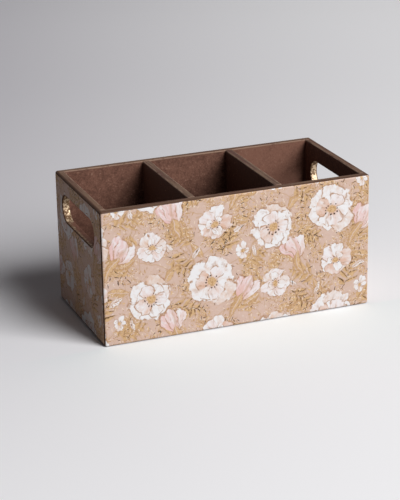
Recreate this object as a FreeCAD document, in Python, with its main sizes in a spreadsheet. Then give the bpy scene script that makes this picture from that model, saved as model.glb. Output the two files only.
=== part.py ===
"""Cutlery caddy: an open box of painted boards with three bays, a hand hole in each end
and a printed sheet glued to each outer face.

The boards butt together, glued and nailed with brads. The front and back run the full
length, the ends fit between them, the base fits inside all four, and the two dividers stand
on the base between the front and the back. The brads go in from outside, under the sheets.
Millimetres, Z up, origin under the middle of the caddy, front towards -Y."""

import FreeCAD
import Part
import os
import Sketcher
from FreeCAD import Vector

doc = FreeCAD.newDocument("cutlery_caddy")

# Driving dimensions
SIZES = {
    "length": 250,  # outside of the boards, along X
    "width": 127.5,  # outside of the boards, along Y
    "height": 122,
    "wall": 7,  # front, back and end boards
    "divider": 7,  # divider boards
    "floor": 7,  # base board
    "edge_round": 2.0,  # sanded outside edges
    "rim_round": 1.2,  # sanded inner edges of the rim and tops of the dividers
    "hole_side": 11.25,  # wood left in the end board at each side of its hand hole
    "hole_height": 24.5,
    "hole_drop": 27.5,  # from the rim down to the middle of the hand hole
    "hole_round": 1.0,  # eased edges of the hand hole
    "sheet": 0.25,  # thickness of the printed sheets
    "sheet_margin": 0.15,  # bare strip between a rounded edge and an end's sheet
    "sheet_wrap": 0.2,  # how deep a long face's sheet turns in over its rounded edges
    "brad_length": 20,
    "brad_width": 1.25,  # flat wire, broad side up and down
    "brad_thickness": 1.05,
    "brad_head": 2.0,  # width of the head, which is as thick as the wire
    "brad_head_depth": 0.8,
    "brad_clearance": 0.05,  # on each side of a brad in its hole
    "brad_edge": 18,  # lowest brads of the corners, and outer brads of each divider
    "floor_brad_pitch": 85,  # brads into the long edges of the base
    "floor_end_brad_pitch": 60,  # brads into the short edges of the base
}
sheet = doc.addObject("Spreadsheet::Sheet", "sizes")
for row, (alias, value) in enumerate(SIZES.items(), start=1):
    sheet.set(f"A{row}", alias)
    sheet.set(f"B{row}", str(value))
    sheet.setAlias(f"B{row}", alias)
doc.recompute()

# Sizes worked out from the driving ones
INNER_LENGTH = "(sizes.length - 2 * sizes.wall)"
INNER_WIDTH = "(sizes.width - 2 * sizes.wall)"
BAY = f"(({INNER_LENGTH} - 2 * sizes.divider) / 3)"
DIVIDER_HEIGHT = "(sizes.height - sizes.floor)"
HOLE_LENGTH = f"({INNER_WIDTH} - 2 * sizes.hole_side)"
HOLE_MIDDLE = "(sizes.height - sizes.hole_drop)"
HOLE_TOP = f"({HOLE_MIDDLE} + sizes.hole_height / 2)"
HOLE_BOTTOM = f"({HOLE_MIDDLE} - sizes.hole_height / 2)"
SHEET_EDGE = "(sizes.edge_round + sizes.sheet_margin)"
SHEET_HOLE_MARGIN = "(sizes.hole_round + sizes.sheet_margin)"
BRAD_REACH = "(sizes.brad_length - sizes.wall)"

# Where the brads go in: along the long faces from their left edge, and up from the floor
CORNER_X = ["sizes.wall / 2", "sizes.length - sizes.wall / 2"]
CORNER_Z = [
    "sizes.brad_edge",
    f"(sizes.brad_edge + {HOLE_BOTTOM}) / 2",
    f"(sizes.height + {HOLE_TOP}) / 2",
]
DIVIDER_X = [
    f"sizes.wall + {BAY} + sizes.divider / 2",
    f"sizes.length - sizes.wall - {BAY} - sizes.divider / 2",
]
DIVIDER_Z = ["sizes.floor + sizes.brad_edge", "sizes.height - sizes.brad_edge"]
FLOOR_X = [
    "sizes.length / 2 - sizes.floor_brad_pitch",
    "sizes.length / 2",
    "sizes.length / 2 + sizes.floor_brad_pitch",
]
FLOOR_Y = [
    "sizes.width / 2 - sizes.floor_end_brad_pitch / 2",
    "sizes.width / 2 + sizes.floor_end_brad_pitch / 2",
]
FLOOR_Z = ["sizes.floor / 2"]

TOUCHING = 1e-6


def value_of(expression):
    """The number that an expression of the sheet's sizes stands for."""
    return float(sheet.evalExpression(str(expression).replace("sizes.", "")))


def grid(across, up):
    return [(x, z) for x in across for z in up]


def new_body(label, x, y, z, turned=False):
    """An empty piece whose own corner lies at x, y, z, turned half round about Z if asked."""
    body = doc.addObject("PartDesign::Body", label)
    body.Label = label
    half_turn = FreeCAD.Rotation(Vector(0, 0, 1), 180 if turned else 0)
    body.Placement = FreeCAD.Placement(Vector(), half_turn)
    for axis, expression in zip("xyz", (x, y, z)):
        body.setExpression(f"Placement.Base.{axis}", expression)
    return body


def new_sketch(body, role, purpose, offset="0"):
    """A sketch on one of the body's own planes, moved along the plane's normal by offset."""
    sketch = body.newObject("Sketcher::SketchObject", f"{body.Label}_{purpose}")
    plane = next(item for item in body.Origin.OriginFeatures if item.Role == role)
    sketch.AttachmentSupport = (plane, [""])
    sketch.MapMode = "FlatFace"
    sketch.setExpression("AttachmentOffset.Base.z", offset)
    return sketch


def corner(across, up):
    return Vector(value_of(across), value_of(up), 0)


def measure(sketch, kind, *arguments, by):
    """A dimension bound to the sheet."""
    index = sketch.addConstraint(Sketcher.Constraint(kind, *arguments, value_of(by)))
    sketch.setExpression(f"Constraints[{index}]", by)


def hold(sketch, geometry, point, across, up):
    """Dimensions that hold one point of a sketch, from its origin."""
    upright_axis, level_axis = -2, -1
    places = (("DistanceX", across, upright_axis), ("DistanceY", up, level_axis))
    for kind, distance, axis in places:
        if distance == "0":
            sketch.addConstraint(Sketcher.Constraint("PointOnObject", geometry, point, axis))
        else:
            measure(sketch, kind, level_axis, 1, geometry, point, by=distance)


def rectangle(sketch, left, bottom, right, top):
    places = [(left, bottom), (right, bottom), (right, top), (left, top)]
    corners = [corner(*place) for place in places]
    lines = [
        sketch.addGeometry(Part.LineSegment(start, end))
        for start, end in zip(corners, corners[1:] + corners[:1])
    ]
    for line, following in zip(lines, lines[1:] + lines[:1]):
        sketch.addConstraint(Sketcher.Constraint("Coincident", line, 2, following, 1))
    for line, direction in zip(lines, ("Horizontal", "Vertical") * 2):
        sketch.addConstraint(Sketcher.Constraint(direction, line))
    hold(sketch, lines[0], 1, left, bottom)
    hold(sketch, lines[2], 1, right, top)


def slot(sketch, middle, up, length, height):
    """A slot with half-round ends, centred at middle and up."""
    radius = f"({height}) / 2"
    reach = f"(({length}) - ({height})) / 2"
    ends = [f"{middle} - {reach}", f"{middle} + {reach}"]
    centres = [corner(end, up) for end in ends]
    rise = Vector(0, value_of(radius), 0)
    quarter = FreeCAD.Units.Quantity("90 deg").getValueAs("rad").Value
    arcs = []
    for centre, start in zip(centres, (quarter, -quarter)):
        circle = Part.Circle(centre, Vector(0, 0, 1), value_of(radius))
        arc = Part.ArcOfCircle(circle, start, start + 2 * quarter)
        arcs.append(sketch.addGeometry(arc))
    low = sketch.addGeometry(Part.LineSegment(centres[0] - rise, centres[1] - rise))
    high = sketch.addGeometry(Part.LineSegment(centres[1] + rise, centres[0] + rise))
    meetings = ((arcs[0], low), (low, arcs[1]), (arcs[1], high), (high, arcs[0]))
    for before, after in meetings:
        sketch.addConstraint(Sketcher.Constraint("Tangent", before, 2, after, 1))
    sketch.addConstraint(Sketcher.Constraint("Equal", *arcs))
    sketch.addConstraint(Sketcher.Constraint("Horizontal", low))
    measure(sketch, "Radius", arcs[0], by=radius)
    measure(sketch, "DistanceX", low, 1, low, 2, by=f"2 * {reach}")
    hold(sketch, arcs[0], 3, ends[0], up)


def brad_outlines(sketch, places, height, clearance="0"):
    """One upright rectangle for each brad: as thick as the wire, and as high as given."""
    half_thickness = f"(sizes.brad_thickness / 2 + {clearance})"
    half_height = f"({height} / 2 + {clearance})"
    for across, up in places:
        left, right = f"{across} - {half_thickness}", f"{across} + {half_thickness}"
        rectangle(sketch, left, f"{up} - {half_height}", right, f"{up} + {half_height}")


def pad(body, sketch, length, backwards=False):
    feature = body.newObject("PartDesign::Pad", f"{sketch.Name}_pad")
    feature.Profile = sketch
    feature.Reversed = backwards
    feature.setExpression("Length", length)
    doc.recompute()
    return feature


def pocket(body, sketch, depth, backwards=False):
    """A cut to a given depth, which has to take something away."""
    before = body.Shape.Volume
    feature = body.newObject("PartDesign::Pocket", f"{sketch.Name}_pocket")
    feature.Profile = sketch
    feature.Reversed = backwards
    feature.setExpression("Length", depth)
    doc.recompute()
    if body.Shape.Volume >= before:
        raise ValueError(f"{sketch.Name} cuts nothing")
    return feature


def round_edges(body, base, radius, chosen):
    """Rounds each edge of the base feature that the test called chosen picks out."""
    numbered = enumerate(base.Shape.Edges, start=1)
    names = [f"Edge{number}" for number, edge in numbered if chosen(edge)]
    feature = body.newObject("PartDesign::Fillet", f"{base.Name}_round")
    feature.Base = (base, names)
    feature.setExpression("Radius", radius)
    doc.recompute()
    return feature


def lies_on(edge, **planes):
    """True if both ends of the edge lie on every plane given, such as x=0 or z=height."""
    return all(
        abs(getattr(vertex.Point, axis) - value_of(place)) < TOUCHING
        for vertex in edge.Vertexes
        for axis, place in planes.items()
    )


def brad_holes(body, role, purpose, places, depth, offset="0", backwards=False):
    sketch = new_sketch(body, role, purpose, offset)
    brad_outlines(sketch, places, "sizes.brad_width", "sizes.brad_clearance")
    return pocket(body, sketch, depth, backwards)


def headed_brad_holes(body, role, places, backwards=False):
    """Holes right through a wall, with a recess for each head in its outer face."""
    brad_holes(body, role, "brad_holes", places, "sizes.wall", backwards=backwards)
    sketch = new_sketch(body, role, "brad_heads")
    brad_outlines(sketch, places, "sizes.brad_head", "sizes.brad_clearance")
    return pocket(body, sketch, "sizes.brad_head_depth", backwards)


def edge_brad_holes(body, purpose, places, across):
    """Blind holes into the two edges of a board that face along Y, across apart."""
    brad_holes(body, "XZ_Plane", f"{purpose}_near", places, BRAD_REACH)
    far = f"-{across}"
    brad_holes(body, "XZ_Plane", f"{purpose}_far", places, BRAD_REACH, far, backwards=True)


def long_board(label, x, y, turned):
    """Front or back: outer face on its XZ plane, thickness towards +Y."""
    body = new_body(label, x, y, "0", turned)
    middle = new_sketch(body, "XZ_Plane", "middle")
    rectangle(middle, "sizes.wall", "0", "sizes.length - sizes.wall", "sizes.height")
    board = pad(body, middle, "sizes.wall", backwards=True)

    def inner_rim(edge):
        return lies_on(edge, y="sizes.wall", z="sizes.height")

    # The inner rim is rounded only between the ends, which butt against square stretches.
    round_edges(body, board, "sizes.rim_round", inner_rim)
    lips = new_sketch(body, "XZ_Plane", "lips")
    rectangle(lips, "0", "0", "sizes.wall", "sizes.height")
    rectangle(lips, "sizes.length - sizes.wall", "0", "sizes.length", "sizes.height")
    board = pad(body, lips, "sizes.wall", backwards=True)
    places = grid(CORNER_X, CORNER_Z) + grid(DIVIDER_X, DIVIDER_Z) + grid(FLOOR_X, FLOOR_Z)
    board = headed_brad_holes(body, "XZ_Plane", places)

    def outside(edge):
        along_face = [lies_on(edge, y="0", z=z) for z in ("0", "sizes.height")]
        ends = ("0", "sizes.length")
        upright = [lies_on(edge, x=x, y="0") for x in ends]
        short = [lies_on(edge, x=x, z=z) for x in ends for z in ("0", "sizes.height")]
        return any(along_face + upright + short)

    round_edges(body, board, "sizes.edge_round", outside)
    return body


def end_board(label, x, y, turned):
    """End with its hand hole: outer face on its YZ plane, thickness towards +X."""
    body = new_body(label, x, y, "0", turned)
    outline = new_sketch(body, "YZ_Plane", "outline")
    rectangle(outline, "0", "0", INNER_WIDTH, "sizes.height")
    slot(outline, f"{INNER_WIDTH} / 2", HOLE_MIDDLE, HOLE_LENGTH, "sizes.hole_height")
    board = pad(body, outline, "sizes.wall")

    def inner_rim(edge):
        return lies_on(edge, x="sizes.wall", z="sizes.height")

    def hand_hole(edge):
        low, high = value_of(HOLE_BOTTOM), value_of(HOLE_TOP)
        level = all(low - TOUCHING < vertex.Z < high + TOUCHING for vertex in edge.Vertexes)
        return level and any(lies_on(edge, x=face) for face in ("0", "sizes.wall"))

    def outer_edges(edge):
        return any(lies_on(edge, x="0", z=z) for z in ("0", "sizes.height"))

    board = round_edges(body, board, "sizes.rim_round", inner_rim)
    board = round_edges(body, board, "sizes.hole_round", hand_hole)
    round_edges(body, board, "sizes.edge_round", outer_edges)
    edge_brad_holes(body, "corner", grid(CORNER_X[:1], CORNER_Z), INNER_WIDTH)
    floor_brads = [(f"{place} - sizes.wall", FLOOR_Z[0]) for place in FLOOR_Y]
    headed_brad_holes(body, "YZ_Plane", floor_brads, backwards=True)
    return body


def base_board():
    body = new_body(
        "base_panel", "sizes.wall - sizes.length / 2", "sizes.wall - sizes.width / 2", "0"
    )
    outline = new_sketch(body, "XY_Plane", "outline")
    rectangle(outline, "0", "0", INNER_LENGTH, INNER_WIDTH)
    pad(body, outline, "sizes.floor")
    long_edges = [(f"{place} - sizes.wall", FLOOR_Z[0]) for place in FLOOR_X]
    edge_brad_holes(body, "long_edge", long_edges, INNER_WIDTH)
    short_edges = [(f"{place} - sizes.wall", FLOOR_Z[0]) for place in FLOOR_Y]
    brad_holes(body, "YZ_Plane", "left_edge", short_edges, BRAD_REACH, backwards=True)
    brad_holes(body, "YZ_Plane", "right_edge", short_edges, BRAD_REACH, INNER_LENGTH)
    return body


def divider_board(label, middle):
    """A divider that stands on the base, with its middle at a distance from the left end."""
    x = f"{middle} - sizes.divider / 2 - sizes.length / 2"
    body = new_body(label, x, "sizes.wall - sizes.width / 2", "sizes.floor")
    outline = new_sketch(body, "YZ_Plane", "outline")
    rectangle(outline, "0", "0", INNER_WIDTH, DIVIDER_HEIGHT)
    board = pad(body, outline, "sizes.divider")

    def top_edges(edge):
        return any(lies_on(edge, x=x, z=DIVIDER_HEIGHT) for x in ("0", "sizes.divider"))

    round_edges(body, board, "sizes.rim_round", top_edges)
    places = [("sizes.divider / 2", f"{place} - sizes.floor") for place in DIVIDER_Z]
    edge_brad_holes(body, "edge", places, INNER_WIDTH)
    return body


def long_sheet(label, x, y, turned):
    """Printed sheet of the front or back, glued to the face and over the start of its edges.

    The sheet is a tray that fits over the board's rounded edges, trimmed shallow."""
    body = new_body(label, x, y, "0", turned)
    low, right, top = "-sizes.sheet", "sizes.length + sizes.sheet", "sizes.height + sizes.sheet"
    depth = "2 * sizes.edge_round"

    def edges_of(left, bottom, right, top, face):
        def chosen(edge):
            corners = [lies_on(edge, x=x, z=z) for x in (left, right) for z in (bottom, top)]
            return lies_on(edge, y=face) or any(corners)

        return chosen

    outline = new_sketch(body, "XZ_Plane", "outline", "sizes.sheet")
    rectangle(outline, low, low, right, top)
    pad(body, outline, depth, backwards=True)
    recess = new_sketch(body, "XZ_Plane", "recess")
    rectangle(recess, "0", "0", "sizes.length", "sizes.height")
    tray = pocket(body, recess, depth)
    inside = edges_of("0", "0", "sizes.length", "sizes.height", "0")
    tray = round_edges(body, tray, "sizes.edge_round", inside)
    outside = edges_of(low, low, right, top, low)
    round_edges(body, tray, "sizes.edge_round + sizes.sheet", outside)
    trim = new_sketch(body, "XZ_Plane", "trim", "-sizes.sheet_wrap")
    rectangle(trim, low, low, right, top)
    pocket(body, trim, depth)
    return body


def end_sheet(label, x, y, turned):
    """Printed sheet of an end, which also covers the ends of the front and back boards."""
    body = new_body(label, x, y, "0", turned)
    outline = new_sketch(body, "YZ_Plane", "outline")
    right = f"sizes.width - {SHEET_EDGE}"
    rectangle(outline, SHEET_EDGE, SHEET_EDGE, right, f"sizes.height - {SHEET_EDGE}")
    length = f"{HOLE_LENGTH} + 2 * {SHEET_HOLE_MARGIN}"
    height = f"sizes.hole_height + 2 * {SHEET_HOLE_MARGIN}"
    slot(outline, "sizes.width / 2", HOLE_MIDDLE, length, height)
    pad(body, outline, "sizes.sheet", backwards=True)
    return body


def brads(label, from_long_faces, from_ends=()):
    """One group of separate brads: those driven through the front and back, then the ends."""
    body = new_body(label, "-sizes.length / 2", "-sizes.width / 2", "0")
    body.AllowCompound = True
    rows = [
        ("front", "XZ_Plane", from_long_faces, "0", True),
        ("back", "XZ_Plane", from_long_faces, "-sizes.width", False),
    ]
    if from_ends:
        rows.append(("left", "YZ_Plane", from_ends, "0", False))
        rows.append(("right", "YZ_Plane", from_ends, "sizes.length", True))
    for side, role, places, offset, backwards in rows:
        shanks = new_sketch(body, role, side, offset)
        brad_outlines(shanks, places, "sizes.brad_width")
        pad(body, shanks, "sizes.brad_length", backwards)
        heads = new_sketch(body, role, f"{side}_heads", offset)
        brad_outlines(heads, places, "sizes.brad_head")
        pad(body, heads, "sizes.brad_head_depth", backwards)
    return body


LEFT, RIGHT = "-sizes.length / 2", "sizes.length / 2"
FRONT, BACK = "-sizes.width / 2", "sizes.width / 2"
pieces = [
    long_board("front_panel", LEFT, FRONT, turned=False),
    long_board("back_panel", RIGHT, BACK, turned=True),
    end_board("left_end_panel", LEFT, f"{FRONT} + sizes.wall", turned=False),
    end_board("right_end_panel", RIGHT, f"{BACK} - sizes.wall", turned=True),
    base_board(),
    divider_board("left_divider", DIVIDER_X[0]),
    divider_board("right_divider", DIVIDER_X[1]),
    long_sheet("front_print", LEFT, FRONT, turned=False),
    long_sheet("back_print", RIGHT, BACK, turned=True),
    end_sheet("left_print", LEFT, FRONT, turned=False),
    end_sheet("right_print", RIGHT, BACK, turned=True),
    brads("corner_brads", grid(CORNER_X, CORNER_Z)),
    brads("divider_brads", grid(DIVIDER_X, DIVIDER_Z)),
    brads("base_brads", grid(FLOOR_X, FLOOR_Z), grid(FLOOR_Y, FLOOR_Z)),
]
doc.recompute()

failed = [item.Label for item in doc.Objects if {"Invalid", "Error"} & set(item.State)]
if failed:
    raise RuntimeError(f"not built: {failed}")
os.makedirs("parts", exist_ok=True)
for piece in pieces:
    if piece.Shape.isNull() or not piece.Shape.isValid():
        raise RuntimeError(f"bad shape: {piece.Label}")
for piece in pieces:
    piece.Shape.exportStep(f"parts/{piece.Label}.step")
    box = piece.Shape.BoundBox
    print(
        f"{piece.Label}: {len(piece.Shape.Solids)} solid(s), {piece.Shape.Volume:.1f} mm3,",
        f"x {box.XMin:.2f}..{box.XMax:.2f}, y {box.YMin:.2f}..{box.YMax:.2f},",
        f"z {box.ZMin:.2f}..{box.ZMax:.2f}",
    )
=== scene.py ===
"""Finish of an open cutlery organizer: painted boards, gilded hand holes and floral printed faces."""

import functools
import math

import bmesh
import bpy
from mathutils import Matrix, Vector


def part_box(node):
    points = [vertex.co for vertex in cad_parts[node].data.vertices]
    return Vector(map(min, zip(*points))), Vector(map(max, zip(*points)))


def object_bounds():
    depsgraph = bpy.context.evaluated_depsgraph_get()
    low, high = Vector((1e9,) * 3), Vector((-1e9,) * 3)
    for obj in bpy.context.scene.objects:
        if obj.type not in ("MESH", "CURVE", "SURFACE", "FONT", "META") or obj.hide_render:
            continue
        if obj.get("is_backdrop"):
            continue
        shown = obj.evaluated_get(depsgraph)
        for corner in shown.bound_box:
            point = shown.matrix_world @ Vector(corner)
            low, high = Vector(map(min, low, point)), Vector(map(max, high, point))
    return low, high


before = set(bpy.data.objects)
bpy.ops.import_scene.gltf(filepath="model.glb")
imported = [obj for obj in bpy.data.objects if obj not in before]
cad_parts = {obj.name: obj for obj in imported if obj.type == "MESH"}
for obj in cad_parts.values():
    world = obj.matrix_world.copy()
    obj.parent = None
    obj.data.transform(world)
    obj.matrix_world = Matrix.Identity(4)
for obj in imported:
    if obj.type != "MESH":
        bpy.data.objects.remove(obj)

bl_info = {
    "name": "Cutlery Organizer Finish",
    "version": (1, 0, 0),
    "blender": (4, 5, 0),
    "location": "3D View > Sidebar > Organizer",
    "description": "Dresses a three-bay cutlery organizer with paint, gilding and floral prints",
    "category": "Object",
}

MM = 0.001
PER_MM = 1000.0
FULL_TURN = math.tau
LONG_BOARDS = ("front_panel", "back_panel")
END_BOARDS = ("left_end_panel", "right_end_panel")
DIVIDERS = ("left_divider", "right_divider")
BRADS = ("corner_brads", "divider_brads", "base_brads")

# Streaks in paint and steel: how many to a metre along X, Y and Z
STREAKS_LENGTHWISE = (20.0, 420.0, 260.0)
STREAKS_CROSSWISE = (420.0, 20.0, 260.0)
STREAKS_ALL_OVER = (30.0, 160.0, 160.0)
STREAKS_STEEL = (300.0, 300.0, 1400.0)

# How much each coat hides of what lies under it
FLECK_COVER = 0.45
RIM_COVER = 0.85
WEAR_COVER = 0.62
EDGE_COVER = 0.9
GILT_METAL = 0.7  # how metallic the gilt is where it is thick
DIVIDER_PAINTED_SHADE = 0.55  # painted shade: how much darker the dividers' paint is made, for the deep shade on their sides

SENSOR_WIDTH = 36.0  # millimetres
FLOOR_RADIUS = 5.0  # metres
FLOOR_SIDES = 96
FLOOR_DROP = 0.05 * MM  # keeps the floor clear of the underside
BACK_BAND_SHADE = 0.08  # how dark the painted band of shade on the floor behind the object is
FRONT_SHADE_TINT = 0.07  # how much of the painted shade tint shows on the floor in front


def swatch(red, green, blue):
    """Linear colour of a paint swatch given as 8-bit screen values."""

    def linear(level):
        share = level / 255.0
        return share / 12.92 if share <= 0.04045 else ((share + 0.055) / 1.055) ** 2.4

    return linear(red), linear(green), linear(blue)


def colour_property(name, description, *levels):
    """A colour that a user can change, written as a paint swatch."""
    return bpy.props.FloatVectorProperty(
        name=name, description=description, subtype="COLOR", size=3, min=0.0, max=1.0,
        default=swatch(*levels),
    )


def length_property(name, description, millimetres):
    """A length that a user can change, written in millimetres."""
    return bpy.props.FloatProperty(
        name=name, description=description, unit="LENGTH", precision=5, default=millimetres * MM,
    )


class OrganizerPrint(bpy.types.PropertyGroup):
    """The floral print on the outer faces."""

    ground: colour_property("Ground", "Dusty pink paper of the print", 199, 171, 157)
    ground_pale: colour_property("Pale ground", "Lighter drift in the paper", 209, 186, 174)
    gold_light: colour_property("Light gold", "Gold ink where it lies thin", 209, 177, 136)
    gold_deep: colour_property("Deep gold", "Gold ink where it pools", 182, 145, 102)
    cream: colour_property("Cream", "Pale flecks over the gold and the paper", 224, 207, 188)
    petal: colour_property("Petal", "White of the blossoms", 228, 228, 230)
    petal_shade: colour_property("Petal shade", "Warm shade towards the heart", 212, 182, 162)
    outline: colour_property("Outline", "Broken tan line round each petal", 166, 124, 89)
    blush: colour_property("Blush", "Pink of the buds", 216, 158, 152)
    ink: colour_property("Ink", "Fine dark strokes and anthers", 60, 38, 26)
    repeat_width: length_property("Repeat width", "Width of one repeat of the print", 114.0)
    repeat_height: length_property("Repeat height", "Height of one repeat of the print", 100.0)


class OrganizerPaint(bpy.types.PropertyGroup):
    """Paint and gilding on the boards, and the steel of the brads."""

    brown: colour_property("Brown", "Red-brown paint on the boards", 119, 83, 69)
    brown_dark: colour_property("Dark brown", "Paint where it lies thick", 83, 55, 45)
    rim: colour_property("Rim", "Greyer paint that is rubbed thin on the rims", 115, 92, 74)
    worn: colour_property("Worn edge", "Board that shows where an edge is rubbed", 166, 137, 120)
    # Dark paint on the outer edges: partly real paint, partly painted shade
    edge: colour_property("Outer edge", "Dark paint on the rounded outer edges", 80, 56, 42)
    gilt: colour_property("Gilt", "Gold paint inside the hand holes", 214, 192, 163)
    gilt_dark: colour_property("Dark gilt", "Gold paint where it is thin", 106, 80, 56)
    hole_length: length_property("Hand hole length", "Length of a hand hole over its round ends", 91.0)
    hole_height: length_property("Hand hole height", "Height of a hand hole", 24.5)
    hole_middle: length_property("Hand hole middle", "Height of a hand hole's middle", 94.5)
    hole_face: length_property(
        "Hand hole face", "Outer face of an end, from the middle of the whole", 125.0,
    )
    steel: colour_property("Steel", "Drawn wire of the brads where it is bright", 176, 174, 170)
    steel_dark: colour_property("Dark steel", "Drawn wire of the brads where it is dull", 120, 118, 115)


class OrganizerStage(bpy.types.PropertyGroup):
    """Camera, lamps and floor."""

    floor: colour_property("Floor", "Pale seamless floor, as the camera sees it", 252, 252, 254)
    # Painted shade: the floor's colour where the light falls off to the left and back
    floor_falloff_shade: colour_property("Far floor", "Floor where it darkens to the left and back", 152, 147, 158)
    # Painted shade: a tint that cancels the print's bounced glow on the floor in front
    floor_front_shade: colour_property(
        "Near floor", "Tint that takes the print's glow off the floor in front", 135, 238, 222,
    )
    floor_bounce: colour_property("Floor bounce", "Floor as it lights the object", 148, 137, 132)
    camera_place: bpy.props.FloatVectorProperty(
        name="Camera", description="Where the camera stands", unit="LENGTH", size=3,
        default=(-0.55129, -1.40103, 0.60217),
    )
    camera_turn: bpy.props.FloatProperty(
        name="Turn", description="Camera's turn about the upright", unit="ROTATION",
        default=math.radians(-21.06),
    )
    camera_tilt: bpy.props.FloatProperty(
        name="Tilt", description="Camera's height above the horizon", unit="ROTATION",
        default=math.radians(20.178),
    )
    camera_roll: bpy.props.FloatProperty(
        name="Roll", description="Camera's turn about its own line of sight", unit="ROTATION",
        default=math.radians(-1.111),
    )
    camera_lens: bpy.props.FloatProperty(
        name="Lens", description="Focal length in millimetres on a 36 mm sensor", default=128.13,
    )
    key_turn: bpy.props.FloatProperty(
        name="Key turn", description="Key lamp's turn to the right of the front", unit="ROTATION",
        default=math.radians(31.0),
    )
    key_tilt: bpy.props.FloatProperty(
        name="Key tilt", description="Key lamp's height above the horizon", unit="ROTATION",
        default=math.radians(36.0),
    )
    key_distance: length_property("Key distance", "Key lamp's distance from the object", 6000.0)
    key_width: length_property("Key width", "Width of the key lamp", 3600.0)
    key_height: length_property("Key height", "Height of the key lamp", 4300.0)
    key_power: bpy.props.FloatProperty(
        name="Key power", description="Key lamp's power", unit="POWER", default=514.0,
    )
    ambient: colour_property("Ambient", "Dim light from all round", 61, 58, 59)
    backdrop: colour_property("Backdrop", "What shows past the edge of the floor", 196, 195, 197)


# Fields: arithmetic on node sockets


class Field:
    """A value or colour that varies over a surface: one output socket, with arithmetic."""

    def __init__(self, socket):
        self.socket = socket

    def __add__(self, other):
        return calculate("ADD", self, other)

    def __sub__(self, other):
        return calculate("SUBTRACT", self, other)

    def __rsub__(self, other):
        return calculate("SUBTRACT", other, self)

    def __mul__(self, other):
        return calculate("MULTIPLY", self, other)

    def __truediv__(self, other):
        return calculate("DIVIDE", self, other)

    def __rtruediv__(self, other):
        return calculate("DIVIDE", other, self)

    def __abs__(self):
        return calculate("ABSOLUTE", self)


def tree_of(values):
    """The node tree that the first field among the values belongs to."""
    return next(value.socket.id_data for value in values if isinstance(value, Field))


def feed(socket, value):
    """Links a field to an input socket, or sets the socket to a plain value."""
    if isinstance(value, Field):
        socket.id_data.links.new(value.socket, socket)
    elif socket.type == "RGBA":
        socket.default_value = (*value, 1.0)
    else:
        socket.default_value = value


def add_node(tree, kind, inputs=(), **settings):
    """Adds a node, with its settings and its inputs by name or number."""
    node = tree.nodes.new(kind)
    for name, setting in settings.items():
        setattr(node, name, setting)
    for key, value in dict(inputs).items():
        feed(node.inputs[key], value)
    return node


def calculate(operation, *values):
    """One step of arithmetic."""
    node = add_node(tree_of(values), "ShaderNodeMath", enumerate(values), operation=operation)
    return Field(node.outputs[0])


def sine(angle):
    return calculate("SINE", angle)


def cosine(angle):
    return calculate("COSINE", angle)


def whole(value):
    """The nearest whole number."""
    return calculate("ROUND", value)


def smaller(first, second):
    return calculate("MINIMUM", first, second)


def larger(first, second):
    return calculate("MAXIMUM", first, second)


def distance(x, y):
    """How far a point lies from 0, 0."""
    return calculate("SQRT", x * x + y * y)


def parts_of(vector):
    """The three values of a vector."""
    node = add_node(tree_of((vector,)), "ShaderNodeSeparateXYZ", {0: vector})
    return tuple(Field(socket) for socket in node.outputs)


def ease(start, end, value):
    """Rises smoothly from 0 at start to 1 at end, which may be the lower of the two."""
    node = add_node(
        tree_of((start, end, value)), "ShaderNodeMapRange",
        {"Value": value, "From Min": start, "From Max": end}, interpolation_type="SMOOTHSTEP",
        clamp=False,
    )
    return Field(node.outputs["Result"])


def noise(place, scale, seed=0.0, detail=2.0, roughness=0.5):
    """Cloudy variation about a half, with the scale in clouds to a metre.

    Each seed has its own clouds.
    """
    node = add_node(
        tree_of((place,)), "ShaderNodeTexNoise",
        {"Vector": place, "W": seed, "Scale": scale, "Detail": detail, "Roughness": roughness},
        noise_dimensions="4D",
    )
    return Field(node.outputs["Fac"])


def chance_of(number):
    """A chance from 0 to 1 that belongs to a number."""
    return calculate("FRACT", sine(number * 12.9898) * 43758.5453)


def cover(mask, under, over):
    """The under colour, covered by the over colour where the mask is 1."""
    node = add_node(
        tree_of((mask, under, over)), "ShaderNodeMix", {0: mask, 6: under, 7: over},
        data_type="RGBA", clamp_factor=True,
    )
    return Field(node.outputs[2])


SOCKET_KINDS = {
    "value": "NodeSocketFloat", "colour": "NodeSocketColor", "vector": "NodeSocketVector",
}


def make_group(paint, outputs, inputs):
    """Builds a shader node group from a function of fields."""
    group = bpy.data.node_groups.new(paint.__name__, "ShaderNodeTree")
    for label, kind in inputs.items():
        group.interface.new_socket(label, in_out="INPUT", socket_type=SOCKET_KINDS[kind])
    for label, kind in outputs.items():
        group.interface.new_socket(label, in_out="OUTPUT", socket_type=SOCKET_KINDS[kind])
    entry = group.nodes.new("NodeGroupInput")
    results = paint(**{label: Field(entry.outputs[label]) for label in inputs})
    leave = group.nodes.new("NodeGroupOutput")
    for label, result in zip(outputs, results if isinstance(results, tuple) else (results,)):
        feed(leave.inputs[label], result)
    return group


def shader_group(outputs, **inputs):
    """Makes a function of fields a shader node group, built once and placed by each call."""

    def wrap(paint):
        @functools.wraps(paint)
        def put(**values):
            group = bpy.data.node_groups.get(paint.__name__) or make_group(paint, outputs, inputs)
            node = add_node(tree_of(values.values()), "ShaderNodeGroup", node_tree=group)
            for label, value in values.items():
                feed(node.inputs[label], value)
            results = tuple(Field(socket) for socket in node.outputs)
            return results[0] if len(results) == 1 else results

        return put

    return wrap


# The floral print, in millimetres across and up a face


@shader_group(
    {"x": "value", "y": "value"},
    u="value", v="value", across="value", up="value", turn="value", size="value",
)
def motif_place(u, v, across, up, turn, size):
    """Where a point lies on the nearest repeat of a motif, which is drawn about 0, 0 at a reach of 1.

    Each column of repeats stands half a repeat higher than the one before.
    """
    look = bpy.context.scene.organizer_print
    width, height = look.repeat_width * PER_MM, look.repeat_height * PER_MM
    column = whole((u - across) / width)
    right = u - across - column * width
    rise = v - up - column * (height / 2)
    rise = rise - whole(rise / height) * height
    c, s = cosine(turn), sine(turn)
    return (right * c + rise * s) / size, (rise * c - right * s) / size


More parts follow.
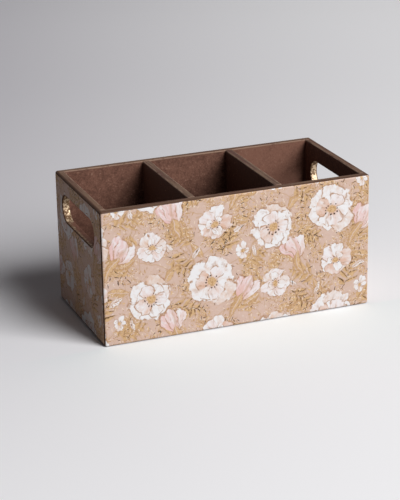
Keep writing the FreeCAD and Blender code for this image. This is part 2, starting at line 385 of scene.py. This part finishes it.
def paint_petal(under, place, along, across, edge, seed, tint, blush):
    """One petal over what lies under it: along and across run over the petal, edge is 1 at its rim."""
    look = bpy.context.scene.organizer_print
    brush = noise(place, 120.0, seed + across * 0.016, detail=3.0, roughness=0.6)
    broken = noise(place, 170.0, seed, detail=2.0)
    fold = ease(0.80, 0.10, along)
    veins = ease(0.55, 0.95, sine(across * 8.0 + brush * 13.0)) * ease(0.46, 0.60, broken)
    colour = cover(fold * 0.45 + tint + (brush - 0.5) * 2.6, look.petal, look.petal_shade)
    colour = cover(blush * ease(0.25, 0.60, brush + fold * 0.2), colour, look.blush)
    colour = cover(veins * ease(1.05, 0.45, along) * 0.55, colour, look.outline)
    line = ease(0.88, 0.95, edge) * ease(0.43, 0.53, broken)
    colour = cover(line * 0.9, colour, look.outline)
    under = cover(ease(1.11, 0.99, edge) * ease(0.38, 0.60, broken) * 0.5, under, look.outline)
    return cover(ease(1.02, 0.98, edge), under, colour)


@shader_group(
    {"colour": "colour"},
    under="colour", place="vector", x="value", y="value", petals="value", turn="value",
    reach="value", breadth="value", seed="value", blush="value",
)
def petal_ring(under, place, x, y, petals, turn, reach, breadth, seed, blush):
    """A ring of petals that don't touch each other, so an open blossom is two or more rings."""
    turns = calculate("ARCTAN2", y, x) / FULL_TURN * petals + turn
    petal = whole(turns)
    number = calculate("FLOORED_MODULO", petal, petals) * 1.7 + seed * 5.0
    chance, other = chance_of(number), chance_of(number + 4.7)
    angle = (turns - petal + (other - 0.5) * 0.22) * FULL_TURN / petals
    radius = distance(x, y)
    along = radius * cosine(angle) / (reach * (chance * 0.36 + 0.78))
    across = radius * sine(angle) / (breadth * (other * 0.3 + 0.82) * (along * 0.62 + 0.52))
    ruffle = noise(place, 105.0, seed + chance, detail=3.0) - 0.5
    notch = ease(0.34, 0.0, abs(across)) * ease(0.55, 1.0, along)
    edge = distance((along - 0.56) / 0.46, across) + ruffle * 1.15 + notch * 0.10
    tint = ease(0.45, 1.0, other) * 0.6
    return paint_petal(under, place, along, across, edge, seed + chance * 2.0, tint, blush)


@shader_group(
    {"colour": "colour"},
    under="colour", place="vector", x="value", y="value", lean="value", breadth="value",
    seed="value", blush="value",
)
def bud_petal(under, place, x, y, lean, breadth, seed, blush):
    """One upright petal of a bud, which leans to one side from the bud's foot."""
    c, s = cosine(lean), sine(lean)
    along = x * c + y * s
    across = (y * c - x * s) / (breadth * (along * 0.45 + 0.62))
    ruffle = noise(place, 105.0, seed, detail=3.0) - 0.5
    edge = distance((along - 0.52) / 0.50, across) + ruffle * 0.8
    return paint_petal(under, place, along, across, edge, seed, 0.0, blush)


@shader_group(
    {"colour": "colour"},
    under="colour", place="vector", x="value", y="value", size="value", seed="value",
)
def flower_heart(under, place, x, y, size, seed):
    """The gold heart of a blossom, with dark anthers round it."""
    look = bpy.context.scene.organizer_print
    anthers = 13.0
    radius = distance(x, y) / size
    grain = noise(place, 700.0, seed)
    turns = calculate("ARCTAN2", y, x) / FULL_TURN * anthers
    anther = whole(turns)
    angle = (turns - anther) * FULL_TURN / anthers
    chance = chance_of(calculate("FLOORED_MODULO", anther, anthers) + seed)
    out = radius * cosine(angle) - (chance * 0.35 + 1.02)
    side = radius * sine(angle)
    dot = ease(0.20, 0.10, distance(out, side))
    thread = ease(0.07, 0.03, abs(side)) * ease(0.0, -0.05, out)
    heart = cover(ease(0.42, 0.60, grain), look.gold_light, look.gold_deep)
    under = cover(ease(1.5, 0.7, radius) * 0.55, under, look.petal_shade)
    under = cover(thread * 0.6, under, look.outline)
    under = cover(ease(0.92, 0.80, radius + (grain - 0.5) * 0.5), under, heart)
    return cover(dot * ease(0.25, 0.35, chance), under, look.ink)


@shader_group(
    {"colour": "colour"},
    under="colour", place="vector", x="value", y="value", leaves="value", length="value",
    lean="value", seed="value", inked="value",
)
def leaf_spray(under, place, x, y, leaves, length, lean, seed, inked):
    """A gold spray: leaflets that lean forward on both sides of a stem from 0, 0 to 1, 0.

    An inked spray has broken dark lines down its leaflets.
    """
    look = bpy.context.scene.organizer_print
    side = abs(y)
    other_side = ease(-0.0001, 0.0001, y) * 0.5
    foot = x - side * cosine(lean) / sine(lean)
    leaflet = whole(foot * leaves - other_side)
    stand = (leaflet + other_side) / leaves
    chance = chance_of(leaflet * 3.1 + other_side * 7.0 + seed)
    reach = length * ease(1.15, 0.35, stand) * (chance * 0.4 + 0.8)
    off = (foot - stand) * sine(lean)
    run = (side / sine(lean) + off * cosine(lean) / sine(lean)) / reach
    belly = smaller(run * 2.6, (1.0 - run) * 1.25)
    breadth = larger(belly, 0.0) * (0.42 / leaves)
    kept = ease(-0.01, 0.04, stand) * ease(1.02, 0.98, stand)
    grain = noise(place, 420.0, seed, detail=3.0, roughness=0.6)
    blade = ease(0.006, -0.006, abs(off) - breadth + (grain - 0.5) * 0.03) * kept
    stem = ease(0.016, 0.008, side + (grain - 0.5) * 0.01) * ease(-0.05, 0.0, x) * ease(1.04, 1.0, x)
    tone = ease(-0.02, 0.02, off) * 0.5 + (grain - 0.5) * 1.9 + 0.25
    colour = cover(tone, look.gold_light, look.gold_deep)
    line = larger(ease(0.020, 0.006, abs(off - breadth * 0.5)) * blade, stem) * ease(0.42, 0.54, grain)
    colour = cover(line * inked, colour, look.ink)
    halo = ease(0.05, 0.0, abs(off) - breadth) * kept * ease(1.2, 0.9, run)
    under = cover(halo * 0.35, under, look.gold_deep)
    return cover(larger(blade, stem) * ease(0.22, 0.40, grain), under, colour)


@shader_group(
    {"colour": "colour"},
    under="colour", place="vector", x="value", y="value", breadth="value", seed="value",
    pale="value",
)
def leaf_blade(under, place, x, y, breadth, seed, pale):
    """One broad leaf from 0, 0 to 1, 0: gold with light veins, or as pale as a petal with tan ones."""
    look = bpy.context.scene.organizer_print
    grain = noise(place, 420.0, seed, detail=4.0, roughness=0.65)
    bend = y - sine(x * 2.6) * 0.09
    belly = larger(smaller(x * 2.4, (1.0 - x) * 1.35), 0.0)
    half = breadth * calculate("SQRT", belly)
    edge = abs(bend) - half + (grain - 0.5) * 0.05
    inside = ease(0.012, -0.012, edge)
    rib = ease(0.022, 0.008, abs(bend)) * ease(0.98, 0.80, x)
    vein = ease(0.75, 0.95, sine((x - abs(bend) * 0.9) * 42.0))
    tone = ease(-0.04, 0.04, bend) * 0.4 + (grain - 0.5) * 2.2 + 0.3
    colour = cover(tone, look.gold_light, look.gold_deep)
    colour = cover(larger(rib, vein * 0.45), colour, look.ground_pale)
    white = cover(tone * 0.7, look.petal, look.petal_shade)
    white = cover(larger(rib, vein * 0.7), white, look.outline)
    colour = cover(pale, colour, white)
    colour = cover(ease(-0.035, -0.008, edge) * ease(0.40, 0.55, grain), colour, look.outline)
    under = cover(ease(0.07, 0.0, edge) * 0.4, under, look.gold_deep)
    return cover(inside * ease(0.18, 0.34, grain), under, colour)


@shader_group(
    {"colour": "colour"},
    under="colour", over="colour", u="value", v="value", spacing="value", length="value",
    breadth="value", share="value",
)
def scattered_strokes(under, over, u, v, spacing, length, breadth, share):
    """Short brush strokes at all angles, one to each square of the spacing or to a share of them."""
    square_u, square_v = whole(u / spacing), whole(v / spacing)
    number = square_u * 3.7 + square_v * 31.9
    turn, pick, stretch = chance_of(number), chance_of(number + 5.3), chance_of(number + 9.1)
    right = u - (square_u + (chance_of(number + 2.9) - 0.5) * 0.6) * spacing
    rise = v - (square_v + (stretch - 0.5) * 0.6) * spacing
    c, s = cosine(turn * FULL_TURN), sine(turn * FULL_TURN)
    along = (right * c + rise * s) / (length * (stretch * 0.6 + 0.5))
    aside = (rise * c - right * s) / breadth
    bowed = aside + along * along * (stretch - 0.5) * 3.0
    stroke = ease(1.0, 0.55, distance(along, bowed)) * ease(share, share - 0.02, pick)
    return cover(stroke, under, over)


@shader_group({"colour": "colour", "drift": "value"}, place="vector")
def sponged_ground(place):
    """Dusty pink paper with gold sponged over it in drifts."""
    look = bpy.context.scene.organizer_print
    cloud = noise(place, 52.0, detail=3.0, roughness=0.6)
    sponge = noise(place, 560.0, detail=4.0, roughness=0.75)
    pool = noise(place, 900.0, detail=2.0)
    speck = noise(place, 950.0, 0.6, detail=1.0)
    drab = noise(place, 110.0, 0.3, detail=3.0)
    paper = cover(drab + (speck - 0.5) * 0.9, look.ground, look.ground_pale)
    ink = cover(ease(0.38, 0.62, pool), look.gold_light, look.gold_deep)
    ink = cover(ease(0.55, 0.66, speck) * 0.8, ink, look.ground_pale)
    drift = ease(0.40, 0.60, cloud)
    paper = cover(drift * 0.20, paper, look.gold_deep)
    gold = ease(0.517, 0.560, cloud * 0.50 + sponge * 0.50)
    return cover(gold * 0.9, paper, ink), drift


# Rings of petals from the outside in: petals, turn in petals, reach, breadth, blush
BLOSSOM_RINGS = {
    "full": ((3, 0.00, 1.00, 0.58, 0.0), (3, 0.50, 0.97, 0.56, 0.0), (3, 0.22, 0.72, 0.42, 0.0),
             (3, 0.72, 0.66, 0.38, 0.10)),
    "open": ((3, 0.10, 1.00, 0.52, 0.0), (3, 0.60, 0.95, 0.50, 0.12), (3, 0.35, 0.60, 0.32, 0.0)),
    "small": ((5, 0.20, 1.00, 0.44, 0.0),),
}
HEART_SIZES = {"full": 0.20, "open": 0.20, "small": 0.24}
BRUSH_STRAY = 9.0  # millimetres that the brush strays from a motif's outline

# Petals of a bud: lean in degrees, breadth, blush
BUD_PETALS = ((24.0, 0.26, 0.60), (-24.0, 0.26, 0.20), (2.0, 0.27, 0.45))

# Places in one repeat, in millimetres: across, up, turn in degrees, reach
BLOSSOMS = (
    ("full", 26.0, 28.0, 20.0, 22.5),
    ("full", 84.0, 70.0, 75.0, 21.5),
    ("open", 30.0, 80.0, -30.0, 15.0),
    ("open", 86.0, 17.0, 140.0, 14.0),
    ("small", 55.0, 53.0, 10.0, 7.0),
)
BUDS = (
    (52.0, 6.0, 62.0, 24.0),
    (108.0, 36.0, 110.0, 23.0),
)
SPRAYS = (
    (37.0, 52.0, 70.0, 30.0),
    (50.0, 40.0, 15.0, 30.0),
    (9.0, 9.0, 210.0, 28.0),
    (66.0, 96.0, 140.0, 30.0),
    (105.0, 63.0, -20.0, 28.0),
    (68.0, 33.0, 250.0, 26.0),
    (101.0, 7.0, -40.0, 30.0),
    (11.0, 68.0, 160.0, 28.0),
)
SPRAY_INK = (0.9, 0.35)  # how dark the lines on a spray are, taken in turn
BLADES = (
    (46.0, 22.0, -28.0, 18.0),
    (17.0, 52.0, 118.0, 17.0),
    (63.0, 80.0, 165.0, 17.0),
    (98.0, 85.0, 40.0, 17.0),
    (94.0, 48.0, -62.0, 17.0),
    (70.0, 9.0, 200.0, 17.0),
)
PALE_BLADES = (
    (10.0, 51.0, 60.0, 12.0),
    (47.0, 70.0, 25.0, 12.0),
    (68.0, 45.0, 100.0, 11.0),
    (106.0, 12.0, 140.0, 12.0),
)


@shader_group({"colour": "colour"}, place="vector")
def floral_print(place):
    """The whole print over a face."""
    look = bpy.context.scene.organizer_print
    u, v, _ = parts_of(place)
    u, v = u * PER_MM, v * PER_MM
    brush_u = u + (noise(place, 85.0, 0.02, detail=4.0) - 0.5) * BRUSH_STRAY
    brush_v = v + (noise(place, 85.0, 0.38, detail=4.0) - 0.5) * BRUSH_STRAY
    colour, drift = sponged_ground(place=place)

    def placed(across, up, degrees, reach):
        return motif_place(
            u=brush_u, v=brush_v, across=across, up=up, turn=math.radians(degrees), size=reach
        )

    def brushed(under, strokes):
        for shift, spacing, length, breadth, share, tone in strokes:
            under = scattered_strokes(
                under=under, over=tone, u=u + shift, v=v + shift, spacing=spacing, length=length,
                breadth=breadth, share=share,
            )
        return under

    # Strokes in millimetres: shift of their squares, spacing, length, breadth, then share and colour
    colour = brushed(colour, (
        (0.0, 5.6, 2.9, 0.85, drift * 0.75, look.gold_light),
        (41.0, 4.6, 2.4, 0.60, drift * 0.70, look.gold_deep),
        (29.0, 2.7, 1.5, 0.34, drift * 0.65, look.gold_deep),
        (83.0, 5.2, 2.6, 0.70, 0.35, look.ground_pale),
    ))
    for number, spot in enumerate(SPRAYS):
        x, y = placed(*spot)
        colour = leaf_spray(
            under=colour, place=place, x=x, y=y, leaves=5.0, length=0.40,
            lean=math.radians(52.0), seed=0.1 + number * 0.37, inked=SPRAY_INK[number % 2],
        )
    for number, spot in enumerate(BLADES + PALE_BLADES):
        x, y = placed(*spot)
        colour = leaf_blade(
            under=colour, place=place, x=x, y=y, breadth=0.24, seed=0.2 + number * 0.41,
            pale=float(spot in PALE_BLADES),
        )
    groups = ease(0.50, 0.60, noise(place, 48.0, 0.7, detail=2.0))
    colour = brushed(colour, (
        (71.0, 3.6, 2.1, 0.40, drift * 0.46 + 0.20, look.cream),
        (29.0, 3.7, 1.9, 0.34, drift * 0.50 + 0.10, look.outline),
        (17.0, 6.2, 3.4, 0.42, groups * (drift * 0.65 + 0.25), look.ink),
        (67.0, 5.6, 2.8, 0.38, drift * 0.40, look.ink),
        (53.0, 5.4, 0.6, 0.36, 0.14, look.petal),
    ))
    for number, spot in enumerate(BUDS):
        x, y = placed(*spot)
        for part, (lean, breadth, blush) in enumerate(BUD_PETALS):
            colour = bud_petal(
                under=colour, place=place, x=x, y=y, lean=math.radians(lean), breadth=breadth,
                seed=0.4 + number * 0.7 + part * 0.23, blush=blush,
            )
        colour = leaf_blade(
            under=colour, place=place, x=x * -1.0 + 0.30, y=y, breadth=0.16, seed=0.6 + number * 0.3,
            pale=0.0,
        )
    for number, (kind, *spot) in enumerate(BLOSSOMS):
        x, y = placed(*spot)
        for ring, (petals, turn, reach, breadth, blush) in enumerate(BLOSSOM_RINGS[kind]):
            colour = petal_ring(
                under=colour, place=place, x=x, y=y, petals=petals, turn=turn, reach=reach,
                breadth=breadth, seed=0.1 + number * 0.53 + ring * 0.17, blush=blush,
            )
        colour = flower_heart(
            under=colour, place=place, x=x, y=y, size=HEART_SIZES[kind], seed=number * 0.3
        )
    return colour


# Paint and gilding on the boards, in metres


def mapped(place, **changes):
    """A place with a Scale, a Rotation and a Location put on it, in that order."""
    node = add_node(tree_of((place,)), "ShaderNodeMapping", {"Vector": place, **changes})
    return Field(node.outputs[0])


@shader_group({"tone": "value", "fleck": "value", "height": "value"}, place="vector")
def matte_paint(place):
    """Brown paint on fibreboard: tone rises where it is thin, fleck is its pale fibres, height its nap.

    The back of the right bay is painted lighter: painted light, for the extra light that reaches that
    wall.
    """
    cloud = noise(place, 26.0, 0.13, detail=3.0)
    mottle = noise(place, 190.0, 0.31, detail=4.0, roughness=0.65)
    fibre = noise(place, 720.0, 0.02, detail=3.0, roughness=0.6)
    tone = ease(0.36, 0.64, cloud * 0.22 + mottle * 0.30 + fibre * 0.48)
    fleck = ease(0.59, 0.70, fibre) * ease(0.42, 0.58, mottle)
    x, y, _ = parts_of(place)
    # Painted light: lighter tone at the back of the right bay, where more light reaches the wall
    thin = ease(35.0 * MM, 60.0 * MM, x) * ease(50.0 * MM, 56.0 * MM, y)
    return tone + thin * 0.5, fleck, fibre * 0.6 + mottle * 0.4


@shader_group(
    {"rim": "value", "streak": "value", "wear": "value", "edge": "value"},
    place="vector", grain="vector", middle="vector", half="vector", outside="vector",
)
def rim_wear(place, grain, middle, half, outside):
    """Paint rubbed thin on the rim of a board of that middle and half size, and worn off its edges.

    The edges towards the outside, which is half the size of the whole, keep their dark paint, which is
    partly real paint and partly painted shade.
    """
    at, centre, reach = parts_of(place), parts_of(middle), parts_of(half)
    gaps = [reach[axis] - abs(at[axis] - centre[axis]) for axis in range(3)]
    below = centre[2] + reach[2] - at[2]
    nearest = smaller(smaller(gaps[0], gaps[1]), gaps[2])
    farthest = larger(larger(gaps[0], gaps[1]), gaps[2])
    to_edge = gaps[0] + gaps[1] + gaps[2] - nearest - farthest
    streak = ease(0.40, 0.57, noise(mapped(place, Scale=grain), 1.0, detail=4.0, roughness=0.66))
    rub = noise(place, 160.0, 0.05, detail=4.0, roughness=0.6) - 0.5
    rim = ease(1.5 * MM, 0.4 * MM, below)
    far_x, far_y, _ = parts_of(outside)
    inward = smaller(far_x - abs(at[0]), far_y - abs(at[1]))
    worn = ease(1.3 * MM, 0.5 * MM, to_edge + rub * 4.5 * MM)
    wear = worn * ease(1.0 * MM, 0.1 * MM, below - rub * MM)
    # Dark outer edges: partly real paint, partly painted shade
    edge = ease(3.0 * MM, 1.4 * MM, inward + rub * 1.6 * MM)
    return rim, streak, wear * ease(2.0 * MM, 4.5 * MM, inward), edge


@shader_group({"gilt": "value", "thin": "value"}, place="vector")
def hand_hole_gilding(place):
    """Gold paint rubbed on the round ends of a hand hole, with a thin line along its outer lip."""
    paint = bpy.context.scene.organizer_paint
    radius = paint.hole_height / 2
    x, y, z = parts_of(place)
    past = abs(y) - (paint.hole_length / 2 - radius)
    gap = distance(larger(past, 0.0), z - paint.hole_middle) - radius
    ragged = noise(place, 240.0, 0.07, detail=3.0) - 0.5
    inside = ease(0.7 * MM, 0.3 * MM, gap + ragged * 0.8 * MM)
    rubbed = ease(-6.0 * MM, 3.0 * MM, past + ragged * 26.0 * MM)
    depth = paint.hole_face - abs(x)
    lip = ease(2.8 * MM, 1.6 * MM, depth + ragged * 4.0 * MM)
    gilt = inside * larger(rubbed, lip * 0.5) * ease(0.5 * MM, 1.2 * MM, depth + ragged * 1.5 * MM)
    return gilt, noise(place, 440.0, 0.11, detail=4.0, roughness=0.65)


def new_material(name):
    """A new material, its one plain shader and the place on the object."""
    material = bpy.data.materials.new(name)
    material.use_nodes = True
    tree = material.node_tree
    tree.nodes.clear()
    coordinates = add_node(tree, "ShaderNodeTexCoord")
    shader = add_node(tree, "ShaderNodeBsdfPrincipled")
    add_node(tree, "ShaderNodeOutputMaterial", {"Surface": Field(shader.outputs["BSDF"])})
    return material, shader, Field(coordinates.outputs["Object"])


def raise_surface(shader, height, strength, depth):
    """Feeds a bump to a shader."""
    bump = add_node(
        shader.id_data, "ShaderNodeBump",
        {"Height": height, "Strength": strength, "Distance": depth},
    )
    feed(shader.inputs["Normal"], Field(bump.outputs["Normal"]))


def set_material(piece, material):
    """Gives a piece one material all over."""
    piece.data.materials.clear()
    piece.data.materials.append(material)


def painted_board_material(node, grain, gilded):
    """Brown paint for one board, and gold inside its hand hole if it has one."""
    paint = bpy.context.scene.organizer_paint
    material, shader, place = new_material(f"brown_paint_{node}")
    low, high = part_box(node)
    bottom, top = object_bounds()
    tone, fleck, height = matte_paint(place=place)
    # Painted shade: the dividers are painted darker to stand in for the deep shade on their sides
    if node in DIVIDERS:
        tone = tone - DIVIDER_PAINTED_SHADE
    rim, streak, wear, edge = rim_wear(
        place=place, grain=grain, middle=(low + high) / 2, half=(high - low) / 2,
        outside=(Vector(top) - Vector(bottom)) / 2,
    )
    colour = cover(tone, paint.brown_dark, paint.brown)
    colour = cover(fleck * FLECK_COVER, colour, paint.worn)
    if node != "base_panel":
        colour = cover(rim * RIM_COVER, colour, cover(streak, paint.brown_dark, paint.rim))
        colour = cover(wear * WEAR_COVER, colour, paint.worn)
    # Dark paint on the outer edges, partly real and partly painted shade
    colour = cover(edge * EDGE_COVER, colour, paint.edge)
    roughness = tone * 0.14 + 0.62
    if gilded:
        gilt, thin = hand_hole_gilding(place=place)
        gold = cover(ease(0.42, 0.56, thin), paint.gilt, paint.gilt_dark)
        colour = cover(gilt, colour, gold)
        roughness = roughness + gilt * (thin * 0.35 - 0.28)
        height = height + gilt * thin * 2.5
        feed(shader.inputs["Metallic"], gilt * ease(0.64, 0.48, thin) * GILT_METAL)
    feed(shader.inputs["Base Color"], colour)
    feed(shader.inputs["Roughness"], roughness)
    shader.inputs["Specular IOR Level"].default_value = 0.18
    raise_surface(shader, height, strength=0.35, depth=0.3 * MM)
    return material


def brad_material():
    """Drawn steel wire, streaked bright and dull."""
    paint = bpy.context.scene.organizer_paint
    material, shader, place = new_material("drawn_steel")
    drawn = noise(mapped(place, Scale=STREAKS_STEEL), 1.0, detail=3.0)
    feed(shader.inputs["Base Color"], cover(drawn, paint.steel_dark, paint.steel))
    feed(shader.inputs["Roughness"], drawn * 0.3 + 0.25)
    shader.inputs["Metallic"].default_value = 1.0
    return material


def printed_sheet_material(node, across, out, shift):
    """The floral print on one sheet, sealed with a satin coat.

    Across and out are the face's own directions, and the shift chooses what the face shows. The
    dark paint of the rim laps over a sheet that reaches it, most at its left end.
    """
    paint = bpy.context.scene.organizer_paint
    material, shader, on_object = new_material(f"floral_{node}")
    upright = Vector((0, 0, 1))
    turn = Matrix((across, upright, out)).to_euler()
    place = mapped(on_object, Rotation=turn, Location=(*shift, 0.0))
    weave = noise(place, 1500.0, 0.01, detail=2.0)
    along, up, _ = parts_of(place)
    ragged = (noise(place, 260.0, 0.4, detail=3.0) - 0.5) * 1.2 * MM
    from_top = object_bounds()[1][2] + shift[1] - up + ragged
    reach = ease(shift[0] + 20.0 * MM, shift[0] - 130.0 * MM, along) * 1.1 * MM + 0.4 * MM
    # The lap is the dark edge paint, which is partly painted shade
    lap = ease(0.2 * MM, -0.2 * MM, from_top - reach)
    feed(shader.inputs["Base Color"], cover(lap, floral_print(place=place), paint.edge))
    feed(shader.inputs["Roughness"], noise(place, 60.0, 0.2, detail=3.0) * 0.2 + 0.45)
    shader.inputs["Specular IOR Level"].default_value = 0.22
    raise_surface(shader, weave, strength=0.12, depth=0.15 * MM)
    return material


# Pieces

# Faces: the direction across, the direction out, and the place on the print in millimetres
PRINT_FACES = {
    "front_print": ((1, 0, 0), (0, -1, 0), (52.0, -17.0)),
    "right_print": ((0, 1, 0), (1, 0, 0), (240.0, -17.0)),
    "back_print": ((-1, 0, 0), (0, 1, 0), (430.0, -31.0)),
    "left_print": ((0, -1, 0), (-1, 0, 0), (801.0, -17.0)),
}


class ORGANIZER_OT_print_sheets(bpy.types.Operator):
    """Print the sheets on the four outer faces"""

    bl_idname = "organizer.print_sheets"
    bl_label = "Printed sheets"

    def execute(self, context):
        for node, (across, out, (right, up)) in PRINT_FACES.items():
            material = printed_sheet_material(node, across, out, (right * MM, up * MM))
            set_material(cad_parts[node], material)
        return {"FINISHED"}


class ORGANIZER_OT_paint_boards(bpy.types.Operator):
    """Paint the boards brown and gild the insides of the hand holes"""

    bl_idname = "organizer.paint_boards"
    bl_label = "Painted boards"

    def execute(self, context):
        grains = {
            **dict.fromkeys(LONG_BOARDS, STREAKS_LENGTHWISE),
            **dict.fromkeys(END_BOARDS + DIVIDERS, STREAKS_CROSSWISE),
            "base_panel": STREAKS_ALL_OVER,
        }
        for node, grain in grains.items():
            material = painted_board_material(node, grain, gilded=node in END_BOARDS)
            set_material(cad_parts[node], material)
        return {"FINISHED"}


class ORGANIZER_OT_brads(bpy.types.Operator):
    """Give the hidden brads their steel"""

    bl_idname = "organizer.brads"
    bl_label = "Brads"

    def execute(self, context):
        material = brad_material()
        for node in BRADS:
            set_material(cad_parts[node], material)
        return {"FINISHED"}


# Stage


class ORGANIZER_OT_stage(bpy.types.Operator):
    """Set up the floor, the lamps and the camera"""

    bl_idname = "organizer.stage"
    bl_label = "Stage"

    def execute(self, context):
        stage = context.scene.organizer_stage
        make_floor(stage)
        make_lamps(stage)
        make_camera(stage)
        context.scene.view_settings.view_transform = "Standard"
        return {"FINISHED"}


def seen(tree):
    """1 for what a camera or a reflection sees, and 0 for light on its way to another surface."""
    path = add_node(tree, "ShaderNodeLightPath")
    return larger(Field(path.outputs["Is Camera Ray"]), Field(path.outputs["Is Glossy Ray"]))


def direction(turn, tilt):
    """Points from the object to the front, turned to the right and tilted up."""
    level = math.cos(tilt)
    return Vector((math.sin(turn) * level, -math.cos(turn) * level, math.sin(tilt)))


def make_floor(stage):
    """A wide round floor just under the object."""
    bm = bmesh.new()
    bmesh.ops.create_circle(bm, cap_ends=True, radius=FLOOR_RADIUS, segments=FLOOR_SIDES)
    bmesh.ops.translate(bm, vec=(0.0, 0.0, -FLOOR_DROP), verts=bm.verts)
    mesh = bpy.data.meshes.new("floor")
    bm.to_mesh(mesh)
    bm.free()
    floor = bpy.data.objects.new("floor", mesh)
    bpy.context.scene.collection.objects.link(floor)
    floor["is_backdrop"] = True
    material, shader, place = new_material("pale_floor")
    x, y, _ = parts_of(place)
    c, s = math.cos(stage.camera_turn), math.sin(stage.camera_turn)
    aside, behind = x * c + y * s, y * c - x * s
    # In metres from the middle: painted shade, darker to the left and behind where the light falls off,
    # with a faint painted band of shade at the back
    falloff_shade = ease(0.38, -1.04, aside) * ease(-0.95, 0.51, behind)
    falloff_shade = falloff_shade + ease(-0.30, 0.50, behind) * ease(1.20, 0.70, behind) * BACK_BAND_SHADE
    # Painted shade on the floor in front of the object
    front_shade = ease(-0.24, -0.06, y) * ease(-0.06, -0.07, y) * ease(0.24, 0.10, abs(x))
    shown = cover(front_shade * FRONT_SHADE_TINT, cover(falloff_shade, stage.floor, stage.floor_falloff_shade), stage.floor_front_shade)
    feed(shader.inputs["Base Color"], cover(seen(material.node_tree), stage.floor_bounce, shown))
    shader.inputs["Roughness"].default_value = 0.7
    shader.inputs["Specular IOR Level"].default_value = 0.2
    set_material(floor, material)


def make_lamps(stage):
    """One large soft lamp from the front right, and a little light from all round."""
    aim = direction(stage.key_turn, stage.key_tilt)
    lamp = bpy.data.lights.new("key_lamp", "AREA")
    lamp.shape = "RECTANGLE"
    lamp.size = stage.key_width
    lamp.size_y = stage.key_height
    lamp.energy = stage.key_power
    key = bpy.data.objects.new("key_lamp", lamp)
    key.location = aim * stage.key_distance
    key.rotation_mode = "QUATERNION"
    key.rotation_quaternion = aim.to_track_quat("Z", "Y")
    key.visible_camera = False
    bpy.context.scene.collection.objects.link(key)
    world = bpy.data.worlds.new("studio")
    world.use_nodes = True
    tree = world.node_tree
    tree.nodes.clear()
    colour = cover(seen(tree), stage.ambient, stage.backdrop)
    glow = add_node(tree, "ShaderNodeBackground", {"Color": colour})
    add_node(tree, "ShaderNodeOutputWorld", {"Surface": Field(glow.outputs[0])})
    bpy.context.scene.world = world


def make_camera(stage):
    """The camera at the photograph's angle."""
    turn, roll = stage.camera_turn, stage.camera_roll
    back = direction(turn, stage.camera_tilt)
    level = Vector((math.cos(turn), math.sin(turn), 0.0))
    upright = back.cross(level)
    right = level * math.cos(roll) + upright * math.sin(roll)
    up = upright * math.cos(roll) - level * math.sin(roll)
    camera = bpy.data.objects.new("camera", bpy.data.cameras.new("camera"))
    camera.data.lens = stage.camera_lens
    camera.data.sensor_width = SENSOR_WIDTH
    camera.matrix_world = Matrix.Translation(stage.camera_place) @ (
        Matrix((right, up, back)).transposed().to_4x4()
    )
    bpy.context.scene.collection.objects.link(camera)
    bpy.context.scene.camera = camera


# Sidebar and registration


class ORGANIZER_PT_sidebar(bpy.types.Panel):
    """Steps and settings of the organizer's finish"""

    bl_idname = "ORGANIZER_PT_sidebar"
    bl_label = "Cutlery organizer"
    bl_space_type = "VIEW_3D"
    bl_region_type = "UI"
    bl_category = "Organizer"

    def draw(self, context):
        for step in STEPS:
            self.layout.operator(step.bl_idname)
        for settings in SETTINGS:
            box = self.layout.box()
            for name in settings.__annotations__:
                box.prop(getattr(context.scene, SETTINGS[settings]), name)


SETTINGS = {
    OrganizerPrint: "organizer_print",
    OrganizerPaint: "organizer_paint",
    OrganizerStage: "organizer_stage",
}
STEPS = (
    ORGANIZER_OT_print_sheets, ORGANIZER_OT_paint_boards, ORGANIZER_OT_brads, ORGANIZER_OT_stage,
)


def register():
    for kind in (*SETTINGS, *STEPS, ORGANIZER_PT_sidebar):
        bpy.utils.register_class(kind)
    for kind, name in SETTINGS.items():
        setattr(bpy.types.Scene, name, bpy.props.PointerProperty(type=kind))


def unregister():
    for name in SETTINGS.values():
        delattr(bpy.types.Scene, name)
    for kind in (ORGANIZER_PT_sidebar, *reversed(STEPS), *reversed(SETTINGS)):
        bpy.utils.unregister_class(kind)


def main():
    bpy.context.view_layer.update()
    register()
    bpy.ops.organizer.print_sheets()
    bpy.ops.organizer.paint_boards()
    bpy.ops.organizer.brads()
    bpy.ops.organizer.stage()


if __name__ == "__main__":
    main()
